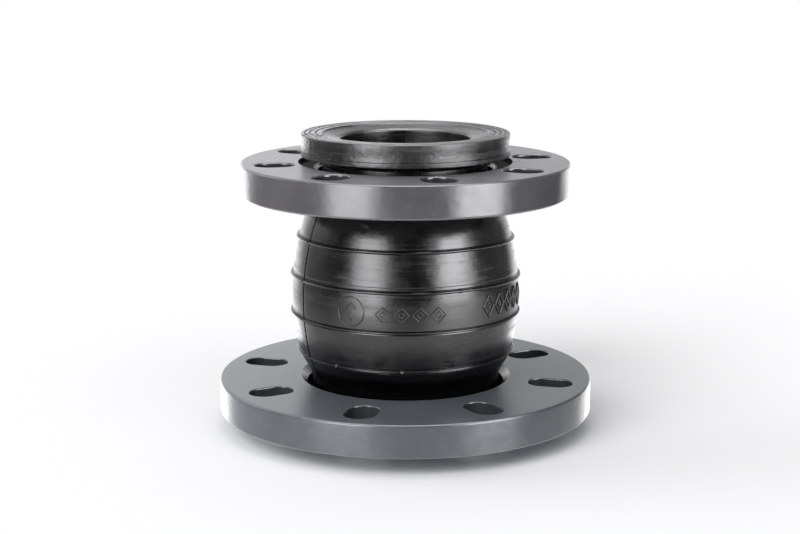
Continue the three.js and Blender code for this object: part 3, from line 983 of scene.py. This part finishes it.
def slot_cutter(f, angle):
    """A slot-shaped cutter that flares at both faces, so the cut edge comes out rounded."""
    rad, half = f["slot_w"] / 2, f["slot_l"] / 2 - f["slot_w"] / 2
    low, high = 0.7, f["lip"]
    k = 6
    levels = [(f["bottom"] - 4.0, low), (f["bottom"] - 0.02, low)]
    for i in range(1, k + 1):
        a = math.pi / 2 * i / k
        levels.append((f["bottom"] + low * (1 - math.cos(a)), low * (1 - math.sin(a))))
    for i in range(k):
        a = math.pi / 2 * (k - i) / k
        levels.append((f["top"] - high * (1 - math.cos(a)), high * (1 - math.sin(a))))
    levels += [(f["top"] + 0.02, high), (f["top"] + 4.0, high)]
    verts, faces = [], []
    ca, sa = math.sin(angle), -math.cos(angle)
    for z, grow in levels:
        for x, y in slot_outline(half, rad, grow):
            x += f["pcd"] / 2
            verts.append((x * ca - y * sa, x * sa + y * ca, z))
    m = len(slot_outline(half, rad, 0))
    for i in range(len(levels) - 1):
        for j in range(m):
            j2 = (j + 1) % m
            faces.append((i * m + j, i * m + j2, (i + 1) * m + j2, (i + 1) * m + j))
    faces.append(tuple(reversed(range(m))))
    faces.append(tuple((len(levels) - 1) * m + j for j in range(m)))
    return verts, faces


def build_flange(name, f, seat_up, material):
    h = f["top"] - f["bottom"]
    if seat_up:
        # here the far face is the underside, so its rim is the lower one
        bore_edge = [(f["bore"], h, f["edge"] - f["bore"])]
    else:
        # a broad turned chamfer
        bore_edge = [(f["bore"], h - 4.4, 1.2), (f["edge"], h, 0.8)]
    corners = [(f["bore"], f["depth"], 1.6 if not seat_up else 2.6), *bore_edge,
               (f["r"], h, 1.5), (f["r"], 0.0, 1.5) if seat_up else (f["r"], 0.0, 0.5),
               (f["seat"], 0.0, 0.55), (f["seat"], f["depth"], 0.7)]
    sec = rounded(corners)
    sec = np.array([[r, f["top"] - s if seat_up else f["bottom"] + s] for r, s in sec])
    verts, faces = turned(sec, even_angles(288))
    body = make_object(name + "_fine", verts, faces)
    cut_v, cut_f = [], []
    for k in range(8):
        v, fc = slot_cutter(f, math.radians(f["phase"] + 45 * k))
        base = len(cut_v)
        cut_v += v
        cut_f += [tuple(base + i for i in face) for face in fc]
    cutter = make_object(name + "_cutter", np.array(cut_v), cut_f)
    mod = body.modifiers.new("slots", "BOOLEAN")
    mod.operation = "DIFFERENCE"
    mod.solver = "EXACT"
    mod.object = cutter
    bpy.context.view_layer.update()
    dg = bpy.context.evaluated_depsgraph_get()
    made = bpy.data.meshes.new_from_object(body.evaluated_get(dg))
    body.modifiers.clear()
    body.data = made
    body.data.name = name + "_fine"
    bpy.data.objects.remove(cutter)
    body.data.polygons.foreach_set("use_smooth", [True] * len(body.data.polygons))
    finish_piece(body, name, name, material)
    weigh_normals(body)
    return body


UPPER_FLANGE = dict(bottom=142.6, top=162.5, r=100.0, bore=52.7, seat=64.8, depth=3.5, edge=56.6,
                    pcd=160.5, slot_w=19.4, slot_l=24.4, phase=13.5, lip=1.4)
LOWER_FLANGE = dict(bottom=10.3, top=30.0, r=114.5, bore=60.5, seat=77.5, depth=3.6, edge=64.7,
                    pcd=183.0, slot_w=18.2, slot_l=27.2, phase=-15.9, lip=0.9)
build_flange("upper_flange", UPPER_FLANGE, True, M_PVC_UP)
build_flange("lower_flange", LOWER_FLANGE, False, M_PVC_LOW)


# ------------------------------------------------------------------ floor
def build_floor():
    s = 14.0
    mesh = bpy.data.meshes.new("floor")
    mesh.from_pydata([(-s, -s, -0.0003), (s, -s, -0.0003), (s, s, -0.0003), (-s, s, -0.0003)], [], [(0, 1, 2, 3)])
    floor = bpy.data.objects.new("floor", mesh)
    scene.collection.objects.link(floor)
    mat, nt, bsdf = new_material("pale_floor")
    n = Nodes(nt)
    pos, _ = n.coords()
    fade = n.noise(pos, 2.0, 2.0, 0.5)
    n.put(bsdf.inputs["Base Color"], n.mix(fade, (0.93, 0.93, 0.94, 1.0), (0.95, 0.95, 0.96, 1.0)))
    bsdf.inputs["Roughness"].default_value = 0.9
    bsdf.inputs["Specular IOR Level"].default_value = 0.0
    mesh.materials.append(mat)
    floor.visible_glossy = False


build_floor()


# ------------------------------------------------------------------ studio light
def build_world():
    """What the shiny surfaces see: two soft boxes either side of the camera, bright walls behind and beside
    the joint, and a dark gap round the camera. Directions are the room's own. It gives no diffuse light."""
    world = bpy.data.worlds.new("studio")
    scene.world = world
    world.use_nodes = True
    world.cycles_visibility.diffuse = False
    nt = world.node_tree
    nt.nodes.clear()
    n = Nodes(nt)
    out = nt.nodes.new("ShaderNodeOutputWorld")
    tc = nt.nodes.new("ShaderNodeTexCoord")
    x, y, z = n.split(tc.outputs["Generated"])
    az = n.math("MULTIPLY", n.math("ARCTAN2", x, n.math("MULTIPLY", y, -1.0)), 180.0 / math.pi)
    el = n.math("MULTIPLY", n.math("ARCSINE", z), 180.0 / math.pi)

    def window(v, a0, a1, b0, b1):
        return n.math("MULTIPLY", n.step(v, a0, a1), n.step(v, b0, b1, 1.0, 0.0))

    def patch(strength, azs, els):
        return n.math("MULTIPLY", n.math("MULTIPLY", window(az, *azs), window(el, *els)), strength)

    def profile(v, changes):
        """0 to start with, then eases to each level between its two places."""
        total, level = None, 0.0
        for p, q, to in changes:
            part = n.step(v, p, q, 0.0, to - level)
            total = part if total is None else n.math("ADD", total, part)
            level = to
        return total

    left, right = n.math("MULTIPLY", az, -1.0), az
    # both boxes lean outwards towards their tops
    above = n.math("MAXIMUM", n.math("SUBTRACT", el, 12.0), 0.0)
    az_l = n.math("ADD", az, n.math("MULTIPLY", above, 0.22))
    az_r = n.math("SUBTRACT", az, n.math("MULTIPLY", above, 0.30))
    box_l = n.math("MULTIPLY", window(az_l, -62, -44, -30, -13), n.math("MULTIPLY", window(el, -16, -11, 28, 52), BOX_LEFT))
    box_r = n.math("MULTIPLY", window(az_r, 28, 41, 62, 76), n.math("MULTIPLY", window(el, -16, -11, 30, 58), BOX_RIGHT))
    glow = n.math("ADD", profile(left, GLOW_LEFT), profile(right, GLOW_RIGHT))
    low = n.math("ADD", profile(left, LOW_LEFT), profile(right, LOW_RIGHT))
    low = n.math("MULTIPLY", low, n.math("ADD", n.step(el, -8, -2, 1.0, 0.62), n.step(el, -12, -16, 0.0, 0.0)))
    high = n.math("ADD", profile(left, HIGH_LEFT), profile(right, HIGH_RIGHT))
    parts = [
        box_l,
        box_r,
        patch(SHOULDER, (-150, -118, -104, -90), (9, 19, 56, 76)),
        n.math("MULTIPLY", glow, window(el, -10, -5, 12, 24)),
        n.math("MULTIPLY", low, window(el, -34, -22, 4, 14)),
        n.math("MULTIPLY", n.math("MULTIPLY", high, window(el, 3, 11, 60, 80)), n.step(el, 8, 17, 1.0, 0.64)),
        n.math("MULTIPLY", window(n.math("MULTIPLY", el, -1.0), 12, 18, 62, 78), TABLE),
        n.math("MULTIPLY", window(n.math("MULTIPLY", el, -1.0), 28, 36, 66, 80), UNDER),
        n.math("MULTIPLY", n.step(el, 50, 70), CEILING),
    ]
    total = GLOOM
    for p in parts:
        total = n.math("ADD", total, p)
    lit = nt.nodes.new("ShaderNodeBackground")
    lit.inputs["Color"].default_value = (0.985, 0.99, 1.0, 1.0)
    n.put(lit.inputs["Strength"], total)
    plain = nt.nodes.new("ShaderNodeBackground")
    plain.inputs["Color"].default_value = (1.0, 1.0, 1.0, 1.0)
    plain.inputs["Strength"].default_value = 1.0
    path = nt.nodes.new("ShaderNodeLightPath")
    mix = nt.nodes.new("ShaderNodeMixShader")
    nt.links.new(path.outputs["Is Camera Ray"], mix.inputs[0])
    nt.links.new(lit.outputs[0], mix.inputs[1])
    nt.links.new(plain.outputs[0], mix.inputs[2])
    nt.links.new(mix.outputs[0], out.inputs["Surface"])


def soft_sun(name, az, el, strength, spread):
    """Diffuse light from one side of the room, seen from the joint. The world holds its reflection."""
    light = bpy.data.lights.new(name, "SUN")
    light.energy = strength
    light.angle = math.radians(spread)
    obj = bpy.data.objects.new(name, light)
    scene.collection.objects.link(obj)
    a, e = math.radians(az), math.radians(el)
    to_light = Vector((math.sin(a) * math.cos(e), -math.cos(a) * math.cos(e), math.sin(e)))
    obj.rotation_euler = to_light.to_track_quat("Z", "Y").to_euler()
    obj.visible_glossy = False
    return obj


GLOOM, BOX_LEFT, BOX_RIGHT, SHOULDER = 0.03, 10.4, 13.2, 2.3
TABLE, UNDER, CEILING = 1.3, 1.8, 9.0
# brightness of the walls behind the joint, by the angle round from the camera's side
LOW_LEFT = [(120, 128, 0.3), (128, 139, 1.1), (139.5, 141.5, 3.9), (142, 151, 2.8), (162, 176, 2.2)]
LOW_RIGHT = [(136, 138.5, 1.7), (139, 151, 2.4), (162, 176, 2.1)]
HIGH_LEFT = [(106, 117, 0.45), (132, 142, 0.8), (142, 150, 1.75), (151, 158, 1.45), (158, 170, 1.6)]
HIGH_RIGHT = [(114, 134, 0.35), (134, 142, 0.6), (142, 152, 1.1), (153, 161, 0.9), (161, 173, 0.75)]
GLOW_LEFT = [(70, 82, 0.2), (84, 97, 0.55), (112, 122, 0.7), (126, 140, 0.0)]
GLOW_RIGHT = [(76, 86, 0.28), (120, 134, 0.0)]
build_world()
soft_sun("front_left", -38, 36, 1.80, 44)
soft_sun("side_left", -106, 24, 1.15, 50)
soft_sun("front_right", 40, 48, 0.44, 44)
soft_sun("back_top", -172, 66, 0.60, 60)
soft_sun("overhead", 0, 88, 0.96, 120)
